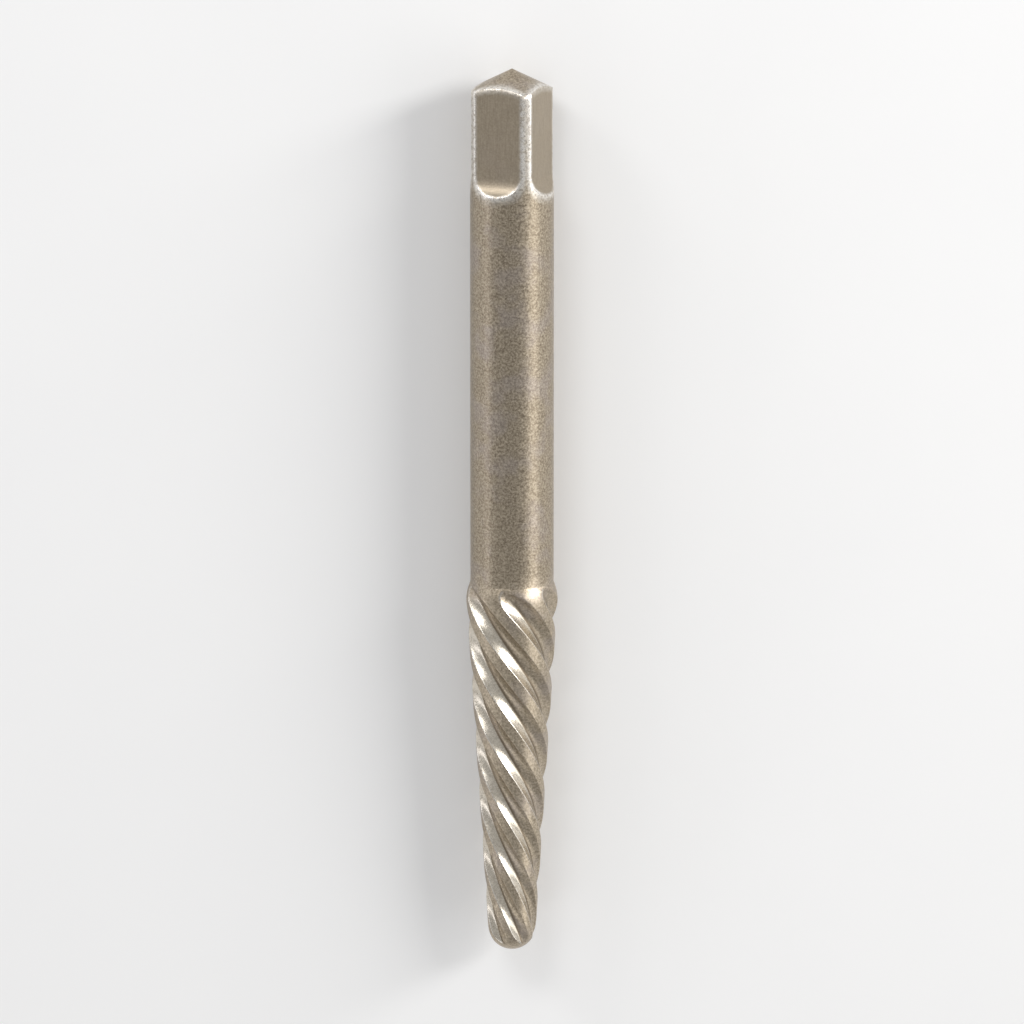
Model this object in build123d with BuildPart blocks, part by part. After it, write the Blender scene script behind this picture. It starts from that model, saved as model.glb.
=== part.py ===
from build123d import *
from math import atan, cos, degrees, radians, sin
import os

# Spiral screw extractor, lying on its side on z = 0, with its axis along Y.
# The square drive end points to +Y and the fluted taper points to -Y.
# Lengths are millimetres and angles are degrees.

# Whole tool
overall_length = 68.26
shank_diameter = 6.35

# Drive end: a square milled into the shank, under a conical point
drive_flats = 4
drive_across_flats = 5.0
drive_flat_length = 7.8
drive_cutter_radius = 2.4
drive_roll = -25.0
point_height = 1.55

# Taper: a short shoulder out from the shank, then a slow cone down to a domed nose
taper_length = 28.8
shoulder_length = 1.0
shoulder_step = 0.34
shoulder_blend_radius = 3.0
taper_end_diameter = 3.44

# Flutes: a left-hand spiral with a steep hooked face and a shallow floor.
# Their section is given at the start of the cone and shrinks with the cone.
flute_count = 6
flute_lead = 24.9
flute_depth = 0.68
flute_face_radius = 0.97
flute_face_sweep = 84.0
flute_floor_radius = 3.0
flute_floor_sweep = 42.0
flute_runout_radius = 4.1
flute_runout_length = 1.0
flute_roll = -94.0
flute_station_turn = 24.0
clearance = 0.3

# Places along the axis, from the middle of the tool
drive_tip_y = overall_length / 2
nose_y = -overall_length / 2
flat_end_y = drive_tip_y - drive_flat_length
shoulder_y = nose_y + taper_length
cone_y = shoulder_y - shoulder_length
runout_y = cone_y - flute_runout_length

# Radii across the axis
shank_radius = shank_diameter / 2
flat_radius = drive_across_flats / 2
cone_radius = shank_radius + shoulder_step
nose_end_radius = taper_end_diameter / 2
taper_slope = (cone_radius - nose_end_radius) / (cone_y - nose_y)
taper_angle = atan(taper_slope)
dome_radius = nose_end_radius * cos(taper_angle) / (1 - sin(taper_angle))


def cone_radius_at(y):
    """Radius of the cone's own line at a place along the axis, past its ends too."""
    return cone_radius + taper_slope * (y - cone_y)


def flute_rise_at(y):
    """Height that a flute's floor has climbed in its run-out at a place along the axis."""
    return (y - runout_y) ** 2 / (2 * flute_runout_radius) if y > runout_y else 0


# One milled flat as a cutter, standing up with the tool's axis along Z
flat_cutter_radius = flat_radius + drive_cutter_radius
flat_cutter_y = drive_tip_y + clearance
with BuildPart() as flat_cutter:
    with BuildSketch(Plane.XZ):
        with BuildLine():
            scallop = RadiusArc(
                (flat_radius, flat_end_y),
                (flat_cutter_radius, flat_end_y - drive_cutter_radius),
                -drive_cutter_radius,
            )
            Polyline(
                scallop @ 1,
                (flat_cutter_radius, flat_cutter_y),
                (flat_radius, flat_cutter_y),
                scallop @ 0,
            )
        make_face()
    extrude(amount=shank_diameter, both=True)

# One flute as a cutter, standing up, lofted from its run-out to just past the nose
cutter_start_y = runout_y + (2 * flute_runout_radius * (flute_depth + clearance)) ** 0.5
cutter_end_y = nose_y - clearance
cutter_length = cutter_start_y - cutter_end_y
station_count = round(cutter_length / flute_lead * 360 / flute_station_turn)
with BuildPart() as flute_cutter:
    for station in range(station_count + 1):
        station_y = cutter_start_y - cutter_length * station / station_count
        station_turn = 360 * (cone_y - station_y) / flute_lead + flute_roll
        scale_here = cone_radius_at(station_y) / cone_radius
        floor_radius = scale_here * (cone_radius - flute_depth) + flute_rise_at(station_y)
        face_radius = scale_here * flute_face_radius
        rise_radius = scale_here * flute_floor_radius
        outward = (cos(radians(station_turn)), sin(radians(station_turn)), 0)
        with BuildSketch(Plane(origin=(0, 0, station_y), x_dir=outward)):
            with BuildLine():
                deepest = (floor_radius, 0)
                face = JernArc(deepest, (0, -1), face_radius, flute_face_sweep)
                floor = JernArc(deepest, (0, 1), rise_radius, -flute_floor_sweep)
                outer = (floor_radius + 2 * face_radius, 0)
                Polyline(face @ 1, outer, floor @ 1)
            make_face()
    loft()

# The turned bar, standing up
with BuildPart() as bar:
    with BuildSketch(Plane.XZ) as half_bar:
        with BuildLine():
            dome = CenterArc(
                (0, nose_y + dome_radius), dome_radius, -90, 90 - degrees(taper_angle)
            )
            Polyline(
                dome @ 1,
                (cone_radius, cone_y),
                (shank_radius, shoulder_y),
                (shank_radius, drive_tip_y - point_height),
                (0, drive_tip_y),
                dome @ 0,
            )
        make_face()
        fillet(half_bar.vertices().sort_by(Axis.X)[-1], shoulder_blend_radius)
    revolve(axis=Axis.Z)

# The milled square and the flutes, cut into the bar. The bar is turned so that its own
# start line runs beside a flute's crest where the flutes run out.
bar_roll = flute_roll - 12
with BuildPart() as tool:
    add(bar.part, rotation=(0, 0, bar_roll))
    with PolarLocations(0, drive_flats, start_angle=drive_roll):
        add(flat_cutter.part, mode=Mode.SUBTRACT)
    with PolarLocations(0, flute_count):
        add(flute_cutter.part, mode=Mode.SUBTRACT)

# The tool laid on its side, its lowest crest on z = 0
axis_height = tool.part.bounding_box().max.Y
with BuildPart(Plane(origin=(0, 0, axis_height), x_dir=(1, 0, 0), z_dir=(0, 1, 0))) as extractor:
    add(tool.part)

extractor.part.label = "extractor"
os.makedirs("parts", exist_ok=True)
export_step(extractor.part, "parts/extractor.step")
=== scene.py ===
import logging
from dataclasses import dataclass, field
from enum import Enum
from math import atan, cos, pi, radians, sin, tan
from typing import Any, Mapping, Union

import bpy
import numpy as np
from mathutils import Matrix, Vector


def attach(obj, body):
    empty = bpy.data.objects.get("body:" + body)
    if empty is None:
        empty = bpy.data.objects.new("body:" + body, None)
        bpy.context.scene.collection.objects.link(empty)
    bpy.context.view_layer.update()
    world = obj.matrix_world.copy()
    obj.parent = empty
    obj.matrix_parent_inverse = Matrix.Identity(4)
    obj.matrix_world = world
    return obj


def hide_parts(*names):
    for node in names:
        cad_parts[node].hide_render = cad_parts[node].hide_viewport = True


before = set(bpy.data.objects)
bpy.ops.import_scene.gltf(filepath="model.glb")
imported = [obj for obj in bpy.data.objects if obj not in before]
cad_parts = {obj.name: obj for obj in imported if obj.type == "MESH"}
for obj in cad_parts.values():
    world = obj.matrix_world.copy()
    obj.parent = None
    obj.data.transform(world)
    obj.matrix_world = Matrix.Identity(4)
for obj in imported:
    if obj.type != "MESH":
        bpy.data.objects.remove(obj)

LOG = logging.getLogger("screw_extractor")
METRES_PER_MM = 0.001
# A distance in millimetres that is well outside the bar, for a cut that isn't there.
FAR = 99.0
# How finely a span of angles is weighed before its columns are laid.
SPREAD_SAMPLES = 4001
# The Mix node's colour sockets, which share their names with its number sockets.
MIX_FACTOR, MIX_FIRST, MIX_SECOND, MIX_RESULT = 0, 6, 7, 2

Colour = tuple[float, float, float, float]
Triple = tuple[float, float, float]


class Mask(Enum):
    """Names of the point attributes that tell the steel's surfaces apart."""

    FLUTE = "flute_cut"
    SIDE = "flute_side"
    MILLED = "milled_flat"
    CORNER = "milled_corner"
    CREST = "flute_crest"


@dataclass(frozen=True)
class Ramp:
    """The values between which a smooth rise from 0 to 1 takes place."""

    low: float
    high: float


@dataclass(frozen=True)
class Grain:
    """Smooth noise: features a metre, octaves, and how much the fine octaves weigh."""

    scale: float
    detail: float
    roughness: float = 0.55


class Value:
    """A node output that takes part in ordinary arithmetic."""

    def __init__(self, tree: "Tree", socket: bpy.types.NodeSocket) -> None:
        """Wraps one socket.

        Args:
            tree: The tree that the socket belongs to.
            socket: The output socket.
        """
        self.tree = tree
        self.socket = socket

    def math(self, operation: str, *others: "Number") -> "Value":
        """Puts this value through one Math node.

        Args:
            operation: The Math node's operation.
            others: The node's further inputs.

        Returns:
            The node's output.
        """
        return self.tree.math(operation, self, *others)

    def __add__(self, other: "Number") -> "Value":
        """Returns the sum."""
        return self.math("ADD", other)

    def __radd__(self, other: "Number") -> "Value":
        """Returns the sum, this value second."""
        return self.tree.math("ADD", other, self)

    def __sub__(self, other: "Number") -> "Value":
        """Returns the difference."""
        return self.math("SUBTRACT", other)

    def __rsub__(self, other: "Number") -> "Value":
        """Returns the difference, this value second."""
        return self.tree.math("SUBTRACT", other, self)

    def __mul__(self, other: "Number") -> "Value":
        """Returns the product."""
        return self.math("MULTIPLY", other)

    def __rmul__(self, other: "Number") -> "Value":
        """Returns the product, this value second."""
        return self.tree.math("MULTIPLY", other, self)

    def __truediv__(self, other: "Number") -> "Value":
        """Returns the quotient."""
        return self.math("DIVIDE", other)

    def __rtruediv__(self, other: "Number") -> "Value":
        """Returns the quotient, this value second."""
        return self.tree.math("DIVIDE", other, self)

    def above_zero(self) -> "Value":
        """Returns the value, or 0 where it is less."""
        return self.math("MAXIMUM", 0.0)

    def rise(self, ramp: Ramp) -> "Value":
        """Rises smoothly from 0 to 1 as the value goes up a ramp.

        Args:
            ramp: Where the result is 0 and where it is 1.

        Returns:
            The eased value.
        """
        settings = {"interpolation_type": "SMOOTHSTEP"}
        inputs = {"Value": self, "From Min": ramp.low, "From Max": ramp.high}
        return self.tree.node("ShaderNodeMapRange", settings, inputs)

    def lifted(self, least: float) -> "Value":
        """Returns a value between 0 and 1 squeezed so that its 0 becomes the least value."""
        return least + self * (1.0 - least)


Number = Union[Value, float]
Paint = Union[Value, Colour]


class Tree:
    """A shader or geometry tree that is written as one method call a node."""

    def __init__(self, tree: bpy.types.NodeTree) -> None:
        """Keeps the tree."""
        self.tree = tree

    def raw(
        self, kind: str, settings: Mapping[str, Any], inputs: Mapping[Any, Any]
    ) -> bpy.types.Node:
        """Adds one node, sets it up and joins its inputs.

        Args:
            kind: The node's type name.
            settings: Attributes of the node, set before its inputs.
            inputs: Input names or indices with the constants or values that feed them.

        Returns:
            The node.
        """
        node = self.tree.nodes.new(kind)
        for name, setting in settings.items():
            setattr(node, name, setting)
        for key, given in inputs.items():
            if isinstance(given, Value):
                self.tree.links.new(given.socket, node.inputs[key])
            else:
                node.inputs[key].default_value = given
        return node

    def node(
        self,
        kind: str,
        settings: Mapping[str, Any],
        inputs: Mapping[Any, Any],
        output: Union[int, str] = 0,
    ) -> Value:
        """Adds one node and returns one of its outputs.

        Args:
            kind: The node's type name.
            settings: Attributes of the node, set before its inputs.
            inputs: Input names or indices with the constants or values that feed them.
            output: The output's index or name.

        Returns:
            The output as a value.
        """
        return Value(self, self.raw(kind, settings, inputs).outputs[output])

    def math(self, operation: str, *values: Number) -> Value:
        """Adds a Math node.

        Args:
            operation: The node's operation.
            values: Its inputs in order.

        Returns:
            The result.
        """
        return self.node("ShaderNodeMath", {"operation": operation}, dict(enumerate(values)))

    def mix_colour(self, factor: Number, first: Paint, second: Paint) -> Value:
        """Mixes two colours.

        Args:
            factor: The share of the second colour.
            first: The first colour.
            second: The second colour.

        Returns:
            The mixed colour.
        """
        inputs = {MIX_FACTOR: factor, MIX_FIRST: first, MIX_SECOND: second}
        return self.node("ShaderNodeMix", {"data_type": "RGBA"}, inputs, MIX_RESULT)

    def noise(self, coordinates: Value, grain: Grain) -> Value:
        """Adds smooth noise.

        Args:
            coordinates: Where the noise is read.
            grain: How fine and how rough it is.

        Returns:
            The noise, about 0.5.
        """
        inputs = {
            "Vector": coordinates,
            "Scale": grain.scale,
            "Detail": grain.detail,
            "Roughness": grain.roughness,
        }
        return self.node("ShaderNodeTexNoise", {}, inputs)

    def stretched(self, coordinates: Value, factors: Triple) -> Value:
        """Scales coordinates along each axis.

        Args:
            coordinates: The coordinates.
            factors: The three factors.

        Returns:
            The scaled coordinates.
        """
        inputs = {0: coordinates, 1: factors}
        return self.node("ShaderNodeVectorMath", {"operation": "MULTIPLY"}, inputs)

    def place(self) -> Value:
        """Returns a material's Object coordinates."""
        return self.node("ShaderNodeTexCoord", {}, {}, "Object")

    def mask(self, mask: Mask) -> Value:
        """Returns one of the steel's point attributes in a material."""
        return self.node("ShaderNodeAttribute", {"attribute_name": mask.value}, {}, "Fac")

    def surface(self, inputs: Mapping[str, Any]) -> None:
        """Ends a material with its surface shader.

        Args:
            inputs: The Principled shader's inputs by name.
        """
        shader = self.node("ShaderNodeBsdfPrincipled", {}, inputs)
        self.raw("ShaderNodeOutputMaterial", {}, {"Surface": shader})


def new_material(name: str) -> tuple[bpy.types.Material, Tree]:
    """Makes a material with an empty tree.

    Args:
        name: The material's name.

    Returns:
        The material and its tree.
    """
    material = bpy.data.materials.new(name)
    material.use_nodes = True
    material.node_tree.nodes.clear()
    return material, Tree(material.node_tree)


@dataclass(frozen=True)
class ToolSteel:
    """Hardened steel: a dull speckled skin, ground flutes, milled flats and worn edges, with
    painted shade, sheen and glint mixed into its colour.

    The ramps are read on the noise or the mask that they are named for, apart from
    taper_start, which is a place along the tool in metres. A share is how much of a colour
    or a bump is let through.
    """

    skin_dark: Colour = (0.195, 0.155, 0.110, 1.0)
    skin_light: Colour = (0.61, 0.525, 0.405, 1.0)
    skin_tint: Colour = (0.45, 0.405, 0.425, 1.0)
    ground: Colour = (0.74, 0.69, 0.60, 1.0)
    milled_dark: Colour = (0.34, 0.285, 0.215, 1.0)
    milled_light: Colour = (0.475, 0.405, 0.31, 1.0)
    # The worn edges' colour, which also paints a glint on the square's corners and the flutes'
    # crests.
    worn_and_glint: Colour = (0.86, 0.83, 0.78, 1.0)

    skin_roughness: float = 0.38
    speckle_roughness: float = 0.14
    ground_roughness: float = 0.25
    milled_roughness: float = 0.36
    worn_roughness: float = 0.26

    speckle: Grain = Grain(6200.0, 4.0, 0.72)
    pits: Grain = Grain(14260.0, 2.0, 0.6)
    blotches: Grain = Grain(420.0, 2.0)
    streaks: Grain = Grain(15000.0, 2.0)
    streak_factors: Triple = (1.0, 0.05, 1.0)
    wear: Grain = Grain(3100.0, 3.0, 0.65)

    speckle_ramp: Ramp = Ramp(0.27, 0.77)
    pit_ramp: Ramp = Ramp(0.60, 0.72)
    blotch_ramp: Ramp = Ramp(0.45, 0.70)
    streak_ramp: Ramp = Ramp(0.3, 0.7)
    wear_ramp: Ramp = Ramp(0.34, 0.56)
    taper_start: Ramp = Ramp(-0.007, -0.004)
    ground_end: Ramp = Ramp(-0.05, 0.0)
    # Where the painted shade along each flute's deepest line starts and fades out, read on the
    # flute's side.
    deep_shade_start: Ramp = Ramp(-0.05, 0.01)
    deep_shade_end: Ramp = Ramp(0.02, 0.13)

    # Painted sheen: how much lighter the same skin is painted on the taper than on the shank.
    taper_painted_sheen: float = 0.17
    blotch_share: float = 0.25
    pit_share: float = 0.5
    streak_share: float = 0.4
    flat_speckle_share: float = 0.3
    milled_share: float = 0.85
    # How strongly the painted shade darkens the skin along the flutes' deepest lines.
    deep_shade_share: float = 0.9
    ground_share: float = 0.75
    crest_share: float = 0.8
    least_ground: float = 0.7
    least_worn_and_glint: float = 0.35

    grain_height: float = 0.000014
    bump_strength: float = 0.6
    ground_smoothing: float = 0.8
    streak_bump: float = 0.7

    def build(self) -> bpy.types.Material:
        """Builds the material.

        Returns:
            The steel.
        """
        material, tree = new_material("tool_steel")
        place = tree.place()
        light = tree.noise(place, self.speckle).rise(self.speckle_ramp)
        pits = tree.noise(place, self.pits)
        streaks = tree.noise(tree.stretched(place, self.streak_factors), self.streaks)
        wear = tree.noise(place, self.wear).rise(self.wear_ramp)

        flute, side, milled = (tree.mask(m) for m in (Mask.FLUTE, Mask.SIDE, Mask.MILLED))
        fresh = flute * (1.0 - side.rise(self.ground_end)) * wear.lifted(self.least_ground)
        # Painted shade: a band along each flute's deepest line, where the hollow is shaded,
        # darkened towards skin_dark.
        deep_shade = flute * side.rise(self.deep_shade_start) * (1.0 - side.rise(self.deep_shade_end))
        # The corners and crests take the worn colour: partly real wear, partly a painted glint.
        edges = tree.mask(Mask.CORNER) + tree.mask(Mask.CREST) * self.crest_share
        edges = edges * wear.lifted(self.least_worn_and_glint)

        brushed = streaks.rise(self.streak_ramp) * self.streak_share
        brushed = brushed + light * self.flat_speckle_share
        flat = tree.mix_colour(brushed, self.milled_dark, self.milled_light)
        colour = self.skin(tree, place, light, pits)
        colour = tree.mix_colour(milled * self.milled_share, colour, flat)
        # Paints the shade into the flutes' deepest corners.
        colour = tree.mix_colour(deep_shade * self.deep_shade_share, colour, self.skin_dark)
        colour = tree.mix_colour(fresh * self.ground_share, colour, self.ground)
        # Paints the worn edges and their glint.
        colour = tree.mix_colour(edges, colour, self.worn_and_glint)

        roughness = self.skin_roughness + (light - 0.5) * self.speckle_roughness
        roughness = roughness + milled * (self.milled_roughness - self.skin_roughness)
        roughness = roughness + fresh * (self.ground_roughness - self.skin_roughness)
        roughness = roughness + edges * (self.worn_roughness - self.skin_roughness)

        height = pits * (1.0 - fresh * self.ground_smoothing)
        height = height + streaks * milled * self.streak_bump
        bump = {"Strength": self.bump_strength, "Distance": self.grain_height, "Height": height}
        normal = tree.node("ShaderNodeBump", {}, bump)
        tree.surface(
            {"Base Color": colour, "Metallic": 1.0, "Roughness": roughness, "Normal": normal}
        )
        return material

    def skin(self, tree: Tree, place: Value, light: Value, pits: Value) -> Value:
        """Mixes the hardened skin, with a painted sheen that makes it a little lighter on the
        taper than on the shank.

        Args:
            tree: The material's tree.
            place: The Object coordinates.
            light: The speckle, from 0 in its dark grains to 1 in its light ones.
            pits: The finer noise of the pits.

        Returns:
            The skin's colour.
        """
        along = tree.node("ShaderNodeSeparateXYZ", {}, {"Vector": place}, "Y")
        taper = 1.0 - along.rise(self.taper_start)
        blotches = tree.noise(place, self.blotches).rise(self.blotch_ramp)
        # The taper's painted sheen lifts the skin towards its light colour.
        skin = tree.mix_colour(light + taper * self.taper_painted_sheen, self.skin_dark, self.skin_light)
        skin = tree.mix_colour(blotches * self.blotch_share, skin, self.skin_tint)
        return tree.mix_colour(pits.rise(self.pit_ramp) * self.pit_share, skin, self.skin_dark)


@dataclass(frozen=True)
class PaleFloor:
    """A plain matte studio floor with a barely visible grain."""

    colour: Colour = (0.92, 0.92, 0.92, 1.0)
    shade: Colour = (0.89, 0.89, 0.895, 1.0)
    roughness: float = 0.85
    grain: Grain = Grain(60.0, 3.0)

    def build(self) -> bpy.types.Material:
        """Builds the material.

        Returns:
            The floor's finish.
        """
        material, tree = new_material("pale_floor")
        grain = tree.noise(tree.place(), self.grain)
        colour = tree.mix_colour(grain, self.colour, self.shade)
        tree.surface({"Base Color": colour, "Roughness": self.roughness})
        return material


def smooth_min(first: np.ndarray, second: np.ndarray, width: float) -> np.ndarray:
    """Takes the smaller of two lengths with a small rounding where they meet.

    Args:
        first: The first lengths.
        second: The second lengths.
        width: The difference below which the rounding starts.

    Returns:
        The rounded minimum, as a Math node's Smooth Minimum gives it.
    """
    near = np.clip(width - np.abs(first - second), 0, None) / width
    return np.minimum(first, second) - near**3 * width / 6


def ease(share: np.ndarray) -> np.ndarray:
    """Returns the smoothstep of a share, held between 0 and 1."""
    held = np.clip(share, 0, 1)
    return held * held * (3 - 2 * held)


def spread(
    count: int, start: float, stop: float, peaks: Mapping[float, float], width: float
) -> np.ndarray:
    """Spreads angles over a span, closer together near some of them.

    Args:
        count: How many angles.
        start: The first angle.
        stop: The end of the span, which is left out.
        peaks: Angles to crowd round, with how strongly.
        width: How wide each crowd is.

    Returns:
        The angles in rising order.
    """
    fine = np.linspace(start, stop, SPREAD_SAMPLES)
    weight = np.ones_like(fine)
    for place, strength in peaks.items():
        weight += strength * np.exp(-(((fine - place) / width) ** 2))
    total = np.concatenate([[0], np.cumsum((weight[1:] + weight[:-1]) / 2)])
    return np.interp(np.arange(count) / count * total[-1], total, fine)


@dataclass(frozen=True)
class BarSizes:
    """The turned bar with its axis along Y, in millimetres."""

    length: float = 68.26
    shank_radius: float = 3.175
    axis_height: float = 3.44198
    point_height: float = 1.55
    taper_length: float = 28.8
    shoulder_length: float = 1.0
    shoulder_step: float = 0.34
    shoulder_blend: float = 3.0
    nose_radius: float = 1.72
    edge_rounding: float = 0.05

    @property
    def tip_y(self) -> float:
        """Returns the place of the drive end's point."""
        return self.length / 2

    @property
    def nose_y(self) -> float:
        """Returns the place of the taper's nose."""
        return -self.length / 2

    @property
    def shoulder_y(self) -> float:
        """Returns where the shank ends."""
        return self.nose_y + self.taper_length

    @property
    def cone_y(self) -> float:
        """Returns where the slow cone starts."""
        return self.shoulder_y - self.shoulder_length

    @property
    def cone_radius(self) -> float:
        """Returns the cone's largest radius."""
        return self.shank_radius + self.shoulder_step

    @property
    def slope(self) -> float:
        """Returns the cone's growth in radius for its length."""
        return (self.cone_radius - self.nose_radius) / (self.cone_y - self.nose_y)

    @property
    def dome_radius(self) -> float:
        """Returns the radius of the nose's dome, tangent to the cone."""
        lean = atan(self.slope)
        return self.nose_radius * cos(lean) / (1 - sin(lean))

    @property
    def dome_end_y(self) -> float:
        """Returns where the dome meets the cone."""
        return self.nose_y + self.dome_radius * (1 - sin(atan(self.slope)))

    def radius_at(self, y: np.ndarray) -> np.ndarray:
        """Gives the turned bar's radius.

        Args:
            y: Places along the axis.

        Returns:
            The radius at each place.
        """
        middle = self.nose_y + self.dome_radius
        dome = np.sqrt(np.clip(self.dome_radius**2 - (y - middle) ** 2, 0, None))
        body = np.where(y < self.dome_end_y, dome, self.shouldered_at(y))
        point = self.shank_radius * (self.tip_y - y) / self.point_height
        return smooth_min(body, point, self.edge_rounding)

    def shouldered_at(self, y: np.ndarray) -> np.ndarray:
        """Gives the radius of the cone, the blended shoulder and the shank.

        Args:
            y: Places along the axis.

        Returns:
            The radius at each place, without the dome and the point.
        """
        fall = self.shoulder_step / self.shoulder_length
        cone = self.cone_radius + self.slope * (y - self.cone_y)
        shoulder = np.maximum(self.cone_radius - fall * (y - self.cone_y), self.shank_radius)
        lean, drop = atan(self.slope), atan(fall)
        reach = self.shoulder_blend * tan((lean + drop) / 2)
        start_y = self.cone_y - reach * cos(lean)
        middle_y = start_y + self.shoulder_blend * sin(lean)
        middle_radius = self.cone_radius - reach * sin(lean) - self.shoulder_blend * cos(lean)
        blend = np.sqrt(np.clip(self.shoulder_blend**2 - (y - middle_y) ** 2, 0, None))
        blended = (y > start_y) & (y < self.cone_y + reach * cos(drop))
        sharp = np.where(y < self.cone_y, cone, shoulder)
        return np.where(blended, middle_radius + blend, sharp)


@dataclass(frozen=True)
class SquareSizes:
    """The milled square at the drive end, in millimetres and degrees."""

    flats: int = 4
    flat_distance: float = 2.5
    flat_length: float = 7.8
    scallop_radius: float = 2.4
    turn: float = -25.0
    edge_rounding: float = 0.05


@dataclass(frozen=True)
class FluteSizes:
    """The left-hand flutes, in millimetres and degrees, at the start of the cone."""

    flutes: int = 6
    lead: float = 24.9
    depth: float = 0.70
    face_radius: float = 6.0
    face_lean: float = 14.5
    floor_radius: float = 2.4
    bottom_rounding: float = 0.12
    runout_radius: float = 4.1
    runout_length: float = 1.0
    turn: float = -1.0
    crest_angle: float = -17.5
    floor_edge_angle: float = 22.8
    edge_rounding: float = 0.09
    # How wide the crest band is that the steel paints worn and with a painted glint.
    worn_and_glint_depth: float = 0.07


@dataclass
class TurnedBar:
    """The bar and its milled square as one closed lattice of columns and rows.

    Lengths are millimetres. A crowd is how strongly the columns close up round a line, and
    its width is in degrees. The columns follow the flutes on the taper and the square's
    corners at the drive end, and turn from one to the other along the shank.
    """

    bar: BarSizes = field(default_factory=BarSizes)
    square: SquareSizes = field(default_factory=SquareSizes)
    flutes: FluteSizes = field(default_factory=FluteSizes)
    columns: int = 252
    crest_crowd: float = 3.4
    deepest_crowd: float = 1.2
    floor_edge_crowd: float = 1.6
    flute_crowd_width: float = 1.5
    corner_crowd: float = 7.0
    corner_crowd_width: float = 0.8
    turning_start: float = 0.5
    turning_length: float = 24.0
    dome_rows: int = 22
    first_dome_angle: float = 0.06
    taper_pitch: float = 0.125
    runout_pitch: float = 0.072
    runout_reach: float = 2.6
    shank_rows: int = 26
    square_start_y: float = 22.2
    least_scallop_reach: float = 0.15
    edge_gap: float = 0.03
    tip_gap: float = 0.05
    milled_fade: float = 0.03
    # How far the corner band reaches, which the steel paints worn and with a painted glint.
    worn_and_glint_depth: float = 0.08
    worn_and_glint_reach: float = 0.42

    def flute_columns(self) -> np.ndarray:
        """Lays columns round the cone's start, crowded at the flutes' edges.

        Returns:
            One angle a column, in degrees, rising.
        """
        flutes = self.flutes
        period = 360 / flutes.flutes
        middle = (flutes.floor_edge_angle + flutes.crest_angle + period) / 2
        peaks = {
            flutes.crest_angle: self.crest_crowd,
            0.0: self.deepest_crowd,
            flutes.floor_edge_angle: self.floor_edge_crowd,
        }
        count = self.columns // flutes.flutes
        one = spread(count, middle - period, middle, peaks, self.flute_crowd_width)
        return np.concatenate([one + flutes.turn + period * k for k in range(flutes.flutes)])

    def square_columns(self) -> np.ndarray:
        """Lays columns round the square, crowded at its corners.

        Returns:
            One angle a column, in degrees, rising.
        """
        square = self.square
        period = 360 / square.flats
        corner = np.degrees(np.arccos(square.flat_distance / self.bar.shank_radius))
        peaks = {-corner: self.corner_crowd, corner: self.corner_crowd}
        count = self.columns // square.flats
        one = spread(count, -period / 2, period / 2, peaks, self.corner_crowd_width)
        return np.concatenate([one + square.turn + period * k for k in range(square.flats)])

    def from_flat(self, angle: np.ndarray) -> np.ndarray:
        """Gives each angle counted from the middle of the nearest flat.

        Args:
            angle: Angles in degrees.

        Returns:
            The angles from the nearest flat, in degrees.
        """
        period = 360 / self.square.flats
        return (angle - self.square.turn + period / 2) % period - period / 2

    def flat_distance_at(self, y: np.ndarray) -> np.ndarray:
        """Gives how far the milled surface is from the axis.

        Args:
            y: Places along the axis.

        Returns:
            The distance along the flat's own normal, which is FAR where nothing is milled.
        """
        end = self.bar.tip_y - self.square.flat_length
        radius = self.square.scallop_radius
        back = np.clip(end - y, 0, radius)
        scallop = self.square.flat_distance + radius - np.sqrt(radius**2 - back**2)
        return np.where(y < end - radius, FAR, scallop)

    def rows(self, angle: np.ndarray) -> list[np.ndarray]:
        """Lays the rows of the lattice from the nose to the drive end.

        Args:
            angle: The columns' angles at the square, in degrees.

        Returns:
            For each row, a place along the axis for every column.
        """
        bar = self.bar
        last_angle = pi / 2 - atan(bar.slope)
        around = np.linspace(self.first_dome_angle, last_angle, self.dome_rows)
        dome = bar.nose_y + bar.dome_radius * (1 - np.cos(around))
        dense_y = bar.cone_y - self.runout_reach
        taper = np.arange(bar.dome_end_y + self.taper_pitch, dense_y, self.taper_pitch)
        runout = np.arange(dense_y, bar.shoulder_y, self.runout_pitch)
        shank = np.linspace(bar.shoulder_y, self.square_start_y, self.shank_rows)
        level = np.concatenate([dome, taper, runout, shank])
        return [np.full(self.columns, y) for y in level] + self.square_rows(angle)

    def square_rows(self, angle: np.ndarray) -> list[np.ndarray]:
        """Lays the rows at the drive end, which follow the scallops and the crown's edges.

        Args:
            angle: The columns' angles at the square, in degrees.

        Returns:
            For each row, a place along the axis for every column.
        """
        bar, square = self.bar, self.square
        lift = np.cos(np.radians(self.from_flat(angle)))
        depth = square.flat_distance + square.scallop_radius - bar.shank_radius * lift
        least = self.least_scallop_reach**2
        end = np.full(self.columns, bar.tip_y - square.flat_length)
        scallop_y = end - np.sqrt(np.clip(square.scallop_radius**2 - depth**2, least, None))
        flat_radius = np.minimum(square.flat_distance / lift, bar.shank_radius)
        crown_y = bar.tip_y - bar.point_height * flat_radius / bar.shank_radius
        start = np.full(self.columns, self.square_start_y)
        last = np.full(self.columns, bar.tip_y - self.tip_gap)
        # Each stretch is a start, an end, the first row's share of the way, and its rows.
        stretches = (
            (start, scallop_y - self.edge_gap, 0.2, 6),
            (scallop_y + self.edge_gap, end, 0.0, 11),
            (end, crown_y - self.edge_gap, 0.08, 13),
            (crown_y + self.edge_gap, last, 0.0, 12),
        )
        rows = []
        for low, high, first, count in stretches:
            rows += [low + (high - low) * share for share in np.linspace(first, 1, count)]
        return rows

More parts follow.
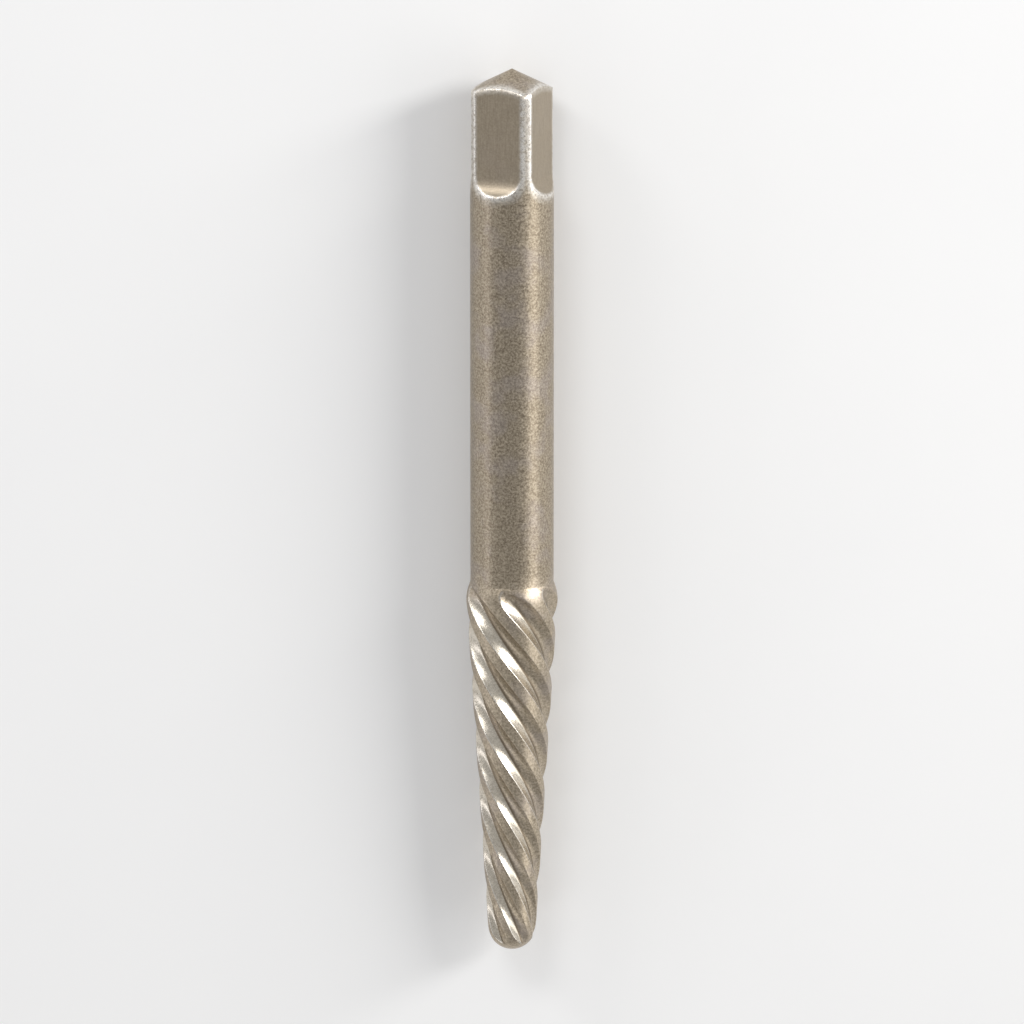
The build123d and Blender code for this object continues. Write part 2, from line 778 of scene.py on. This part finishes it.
    def lattice(self) -> tuple[np.ndarray, dict[Mask, np.ndarray]]:
        """Lays the points, row by row from the nose, with the nose's and the tip's pole last.

        Returns:
            The points in millimetres, and the masks of the milled flats and their edges.
        """
        bar = self.bar
        twist = 360 / self.flutes.lead
        coiled = self.flute_columns()
        squared = self.square_columns()
        behind = float(np.mean(coiled - bar.shoulder_length * twist - squared))
        squared = squared + 360 * round(behind / 360)
        points, milled, corner = [], [], []
        for y in self.rows(squared):
            coil = coiled + twist * (bar.cone_y - np.minimum(y, bar.shoulder_y))
            share = ease((y - bar.shoulder_y - self.turning_start) / self.turning_length)
            angle = coil * (1 - share) + squared * share
            turned = bar.radius_at(y)
            flat = self.flat_distance_at(y) / np.cos(np.radians(self.from_flat(angle)))
            radius = smooth_min(turned, flat, self.square.edge_rounding)
            around = np.radians(angle)
            height = bar.axis_height + radius * np.cos(around)
            points.append(np.stack([radius * np.sin(around), y, height], axis=1))
            over = turned - flat
            # The reach of the corner band that carries the wear and the painted glint.
            worn_and_glint = np.where(over < 0, self.worn_and_glint_reach, self.worn_and_glint_depth)
            milled.append(ease(over / self.milled_fade + 0.5))
            corner.append(np.exp(-((over / worn_and_glint) ** 2)))
        poles = [(0, bar.nose_y, bar.axis_height), (0, bar.tip_y, bar.axis_height)]
        unmarked = [np.zeros(len(poles))]
        masks = {
            Mask.MILLED: np.concatenate(milled + unmarked),
            Mask.CORNER: np.concatenate(corner + unmarked),
        }
        return np.concatenate(points + [poles]), masks

    def faces(self, rows: int) -> list[tuple[int, ...]]:
        """Joins the lattice's points with rings of quads and a fan at either pole.

        Args:
            rows: How many rows the lattice has.

        Returns:
            The point numbers of each face.
        """
        count, last = self.columns, (rows - 1) * self.columns
        nose, tip = rows * count, rows * count + 1
        around = [(column, (column + 1) % count) for column in range(count)]
        faces: list[tuple[int, ...]] = []
        for low in range(0, last, count):
            high = low + count
            faces += [(low + a, low + b, high + b, high + a) for a, b in around]
        for a, b in around:
            faces += [(nose, b, a), (tip, last + a, last + b)]
        return faces

    def build(self) -> bpy.types.Object:
        """Builds the lattice in millimetres.

        Returns:
            The uncut bar as an object.
        """
        points, masks = self.lattice()
        mesh = bpy.data.meshes.new("turned_bar")
        mesh.from_pydata(points.tolist(), [], self.faces(len(points) // self.columns))
        for mask, values in masks.items():
            layer = mesh.attributes.new(mask.value, "FLOAT", "POINT")
            layer.data.foreach_set("value", values.astype(np.float32))
        mesh.validate()
        blank = bpy.data.objects.new("turned_bar", mesh)
        bpy.context.scene.collection.objects.link(blank)
        return blank


@dataclass
class SpiralFlutes:
    """A rule that sinks the flutes into the bar, as a geometry tree.

    The floor's share is the part of the pitch between two flutes that lies on the floor's
    side of a deepest line. The mask's fade and lead are how the ground surface's edge runs
    out over the cut's depth in millimetres, and its run-out is how fast it ends as the
    flute climbs.
    """

    bar: BarSizes = field(default_factory=BarSizes)
    flutes: FluteSizes = field(default_factory=FluteSizes)
    floor_share: float = 0.58
    mask_fade: float = 0.06
    mask_lead: float = 0.35
    mask_runout: float = 5.0

    def inputs(self) -> dict[str, float]:
        """Names the rule's sizes.

        Returns:
            The tree's inputs, lengths in millimetres and angles in radians.
        """
        return {
            "Flutes": float(self.flutes.flutes),
            "Lead": self.flutes.lead,
            "Turn": radians(self.flutes.turn),
            "Depth": self.flutes.depth,
            "Face Radius": self.flutes.face_radius,
            "Face Lean": radians(self.flutes.face_lean),
            "Bottom Rounding": self.flutes.bottom_rounding,
            "Floor Radius": self.flutes.floor_radius,
            "Run-out Radius": self.flutes.runout_radius,
            "Run-out Start": self.bar.cone_y - self.flutes.runout_length,
            "Cone Start": self.bar.cone_y,
            "Cone Radius": self.bar.cone_radius,
            "Cone Slope": self.bar.slope,
            "Axis Height": self.bar.axis_height,
            "Edge Rounding": self.flutes.edge_rounding,
            "Worn And Glint Depth": self.flutes.worn_and_glint_depth,
        }

    def new_group(self) -> bpy.types.NodeTree:
        """Makes an empty geometry tree with the rule's sizes as its named inputs.

        Returns:
            The tree.
        """
        group = bpy.data.node_groups.new("spiral_flutes", "GeometryNodeTree")
        face = group.interface
        face.new_socket("Geometry", in_out="OUTPUT", socket_type="NodeSocketGeometry")
        face.new_socket("Geometry", in_out="INPUT", socket_type="NodeSocketGeometry")
        for name in self.inputs():
            face.new_socket(name, in_out="INPUT", socket_type="NodeSocketFloat")
        return group

    def arc(self, angle: Value, lean: Number, deepest: Value, radius: Value) -> Value:
        """Gives the distance from the axis to one hollow arc of the flute's section.

        Args:
            angle: The angle from the flute's deepest line.
            lean: The angle from the deepest line to the arc's own middle.
            deepest: The deepest line's distance from the axis, which the arc passes.
            radius: The arc's radius.

        Returns:
            The distance, or a large one where the arc isn't met.
        """
        aside = deepest * angle.tree.math("SINE", lean)
        ahead = deepest * angle.tree.math("COSINE", lean)
        centre = ahead + (radius * radius - aside * aside).math("SQRT")
        angle = angle - lean
        off = centre * angle.math("SINE")
        inside = radius * radius - off * off
        missed = inside.math("LESS_THAN", 0.0)
        return centre * angle.math("COSINE") - inside.above_zero().math("SQRT") + missed * FAR

    def section(self, size: Mapping[str, Value], angle: Value, y: Value) -> tuple[Value, Value]:
        """Gives the flute's section at a place along the axis.

        Args:
            size: The tree's inputs by name.
            angle: The angle from the flute's deepest line.
            y: The place along the axis.

        Returns:
            The distance from the axis to the flute's surface, and how far its deepest line
            has climbed in the run-out.
        """
        scale = 1.0 + size["Cone Slope"] * (y - size["Cone Start"]) / size["Cone Radius"]
        climb = (y - size["Run-out Start"]).above_zero()
        rise = climb * climb / (size["Run-out Radius"] * 2.0)
        deepest = scale * (size["Cone Radius"] - size["Depth"]) + rise
        face = self.arc(angle, size["Face Lean"], deepest, scale * size["Face Radius"])
        floor = self.arc(angle, 0.0, deepest, scale * size["Floor Radius"])
        return face.math("SMOOTH_MAX", floor, size["Bottom Rounding"]), rise

    def tree(self, finish: bpy.types.Material) -> bpy.types.NodeTree:
        """Builds the geometry tree.

        Args:
            finish: The tool's material.

        Returns:
            The tree, with the rule's sizes as its named inputs.
        """
        group = self.new_group()
        tree = Tree(group)
        given = tree.raw("NodeGroupInput", {}, {})
        size = {name: Value(tree, given.outputs[name]) for name in self.inputs()}
        geometry = Value(tree, given.outputs["Geometry"])

        position = tree.node("GeometryNodeInputPosition", {}, {})
        split = tree.raw("ShaderNodeSeparateXYZ", {}, {"Vector": position})
        x, y, z = (Value(tree, socket) for socket in split.outputs)
        up = z - size["Axis Height"]
        radius = (x * x + up * up).math("SQRT")
        period = 2 * pi / size["Flutes"]
        coil = (size["Cone Start"] - y) * (2 * pi) / size["Lead"] + size["Turn"]
        ends = (period * self.floor_share, period * (self.floor_share - 1.0))
        angle = (x.math("ARCTAN2", up) - coil).math("WRAP", *ends)
        hollow, rise = self.section(size, angle, y)
        ratio = radius.math("SMOOTH_MIN", hollow, size["Edge Rounding"]) / radius
        sunk = {"X": x * ratio, "Y": y, "Z": size["Axis Height"] + up * ratio}
        moved = tree.node("ShaderNodeCombineXYZ", {}, sunk)

        over = radius - hollow
        depth = (over / self.mask_fade + self.mask_lead).above_zero().math("MINIMUM", 1.0)
        depth = depth * (1.0 - rise / size["Depth"] * self.mask_runout).above_zero()
        # The crest band, painted worn and with a glint.
        crest = (1.0 - over.math("ABSOLUTE") / size["Worn And Glint Depth"]).above_zero()
        on_floor = angle.math("GREATER_THAN", 0.0)

        geometry = self.store(geometry, Mask.FLUTE, depth)
        geometry = self.store(geometry, Mask.SIDE, angle / period)
        geometry = self.store(geometry, Mask.CREST, crest * (1.0 - on_floor))
        for kind, inputs in (
            ("GeometryNodeSetPosition", {"Position": moved}),
            ("GeometryNodeSetShadeSmooth", {}),
            ("GeometryNodeTransform", {"Scale": (METRES_PER_MM,) * 3}),
            ("GeometryNodeRealizeInstances", {}),
            ("GeometryNodeSetMaterial", {"Material": finish}),
        ):
            geometry = tree.node(kind, {}, {"Geometry": geometry, **inputs})
        tree.raw("NodeGroupOutput", {}, {"Geometry": geometry})
        return group

    def store(self, geometry: Value, mask: Mask, value: Value) -> Value:
        """Stores a value at every point.

        Args:
            geometry: The geometry.
            mask: The attribute to write.
            value: What it holds.

        Returns:
            The geometry with the attribute.
        """
        settings = {"data_type": "FLOAT", "domain": "POINT"}
        inputs = {"Geometry": geometry, "Name": mask.value, "Value": value}
        return geometry.tree.node("GeometryNodeStoreNamedAttribute", settings, inputs)

    def cut(self, blank: bpy.types.Object, finish: bpy.types.Material) -> bpy.types.Object:
        """Cuts the flutes and returns the tool as a plain mesh.

        Args:
            blank: The uncut bar.
            finish: The tool's material.

        Returns:
            The tool.
        """
        modifier = blank.modifiers.new("spiral_flutes", "NODES")
        modifier.node_group = self.tree(finish)
        sizes = self.inputs()
        for item in modifier.node_group.interface.items_tree:
            if item.in_out == "INPUT" and item.name in sizes:
                modifier[item.identifier] = sizes[item.name]
        bpy.context.view_layer.update()
        evaluated = blank.evaluated_get(bpy.context.evaluated_depsgraph_get())
        mesh = bpy.data.meshes.new_from_object(evaluated)
        mesh.name = "extractor_tool"
        blank.modifiers.remove(modifier)
        bpy.data.objects.remove(blank)
        tool = bpy.data.objects.new("extractor_tool", mesh)
        bpy.context.scene.collection.objects.link(tool)
        return tool


@dataclass(frozen=True)
class Softbox:
    """One rectangular area light, in metres and watts."""

    name: str
    place: Triple
    width: float
    height: float
    power: float
    colour: Triple = (1.0, 1.0, 1.0)

    def build(self, target: Vector) -> None:
        """Hangs the light, facing the target.

        Args:
            target: Where it points.
        """
        light = bpy.data.lights.new(self.name, "AREA")
        light.shape = "RECTANGLE"
        light.size = self.width
        light.size_y = self.height
        light.energy = self.power
        light.color = self.colour
        lamp = bpy.data.objects.new(self.name, light)
        lamp.location = self.place
        lamp.rotation_euler = (target - Vector(self.place)).to_track_quat("-Z", "Y").to_euler()
        bpy.context.scene.collection.objects.link(lamp)


@dataclass
class Studio:
    """The floor, the lights and the camera that looks down on the tool, in metres."""

    target: Vector = field(default_factory=lambda: Vector((0.0, 0.0, 0.0034)))
    floor_size: float = 3.0
    floor_gap: float = 0.00001
    camera_tilt: float = 11.0
    camera_distance: float = 0.75
    view_height: float = 0.078
    sensor_width: float = 36.0
    clip_start: float = 0.01
    ambient: float = 0.46
    lights: tuple[Softbox, ...] = (
        Softbox("key_strip", (0.367, 0.171, 0.197), 0.10, 0.28, 1.2, (1.0, 0.99, 0.97)),
        Softbox("right_strip", (0.39, -0.09, 0.20), 0.40, 0.20, 0.36, (1.0, 0.99, 0.97)),
        Softbox("top_light", (-0.13, 0.29, 0.31), 0.17, 0.10, 0.34),
        Softbox("corner_light", (-0.28, 0.30, 0.16), 0.10, 0.10, 0.22),
        Softbox("left_strip", (-0.45, 0.0, 0.14), 0.50, 0.07, 0.22, (0.95, 0.95, 1.0)),
        Softbox("nose_fill", (-0.25, -0.29, 0.24), 0.22, 0.16, 0.12),
    )

    def build(self) -> None:
        """Sets the plain view transform and builds the floor, the lights and the camera."""
        bpy.context.scene.view_settings.view_transform = "Standard"
        self.lay_floor()
        for light in self.lights:
            light.build(self.target)
        self.light_world()
        self.aim_camera()

    def lay_floor(self) -> None:
        """Lays the floor just under the tool."""
        half = self.floor_size / 2
        sides = ((-half, -half), (half, -half), (half, half), (-half, half))
        corners = [(x, y, -self.floor_gap) for x, y in sides]
        mesh = bpy.data.meshes.new("floor")
        mesh.from_pydata(corners, [], [(0, 1, 2, 3)])
        mesh.materials.append(PaleFloor().build())
        floor = bpy.data.objects.new("floor", mesh)
        bpy.context.scene.collection.objects.link(floor)

    def light_world(self) -> None:
        """Gives the room a soft even light."""
        world = bpy.data.worlds.new("studio")
        bpy.context.scene.world = world
        world.use_nodes = True
        world.node_tree.nodes.clear()
        tree = Tree(world.node_tree)
        white = {"Color": (1.0, 1.0, 1.0, 1.0), "Strength": self.ambient}
        background = tree.node("ShaderNodeBackground", {}, white)
        tree.raw("ShaderNodeOutputWorld", {}, {"Surface": background})

    def aim_camera(self) -> None:
        """Puts the camera over the tool, tipped a little towards the drive end."""
        lens = bpy.data.cameras.new("camera")
        lens.sensor_width = self.sensor_width
        lens.lens = self.sensor_width * self.camera_distance / self.view_height
        lens.clip_start = self.clip_start
        camera = bpy.data.objects.new("camera", lens)
        tilt = radians(self.camera_tilt)
        camera.location = self.target + Vector((0, sin(tilt), cos(tilt))) * self.camera_distance
        camera.rotation_euler = (-tilt, 0.0, 0.0)
        bpy.context.scene.collection.objects.link(camera)
        bpy.context.scene.camera = camera


def main() -> None:
    """Builds the tool over its CAD node, then the studio."""
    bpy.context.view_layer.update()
    steel = ToolSteel().build()
    LOG.info("steel finish built")
    blank = TurnedBar().build()
    LOG.info("turned bar: %d points", len(blank.data.vertices))
    tool = SpiralFlutes().cut(blank, steel)
    LOG.info("fluted tool: %d faces", len(tool.data.polygons))
    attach(tool, "root")
    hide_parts("extractor")
    Studio().build()
    LOG.info("studio built")


if __name__ == "__main__":
    logging.basicConfig(level=logging.INFO)
    main()
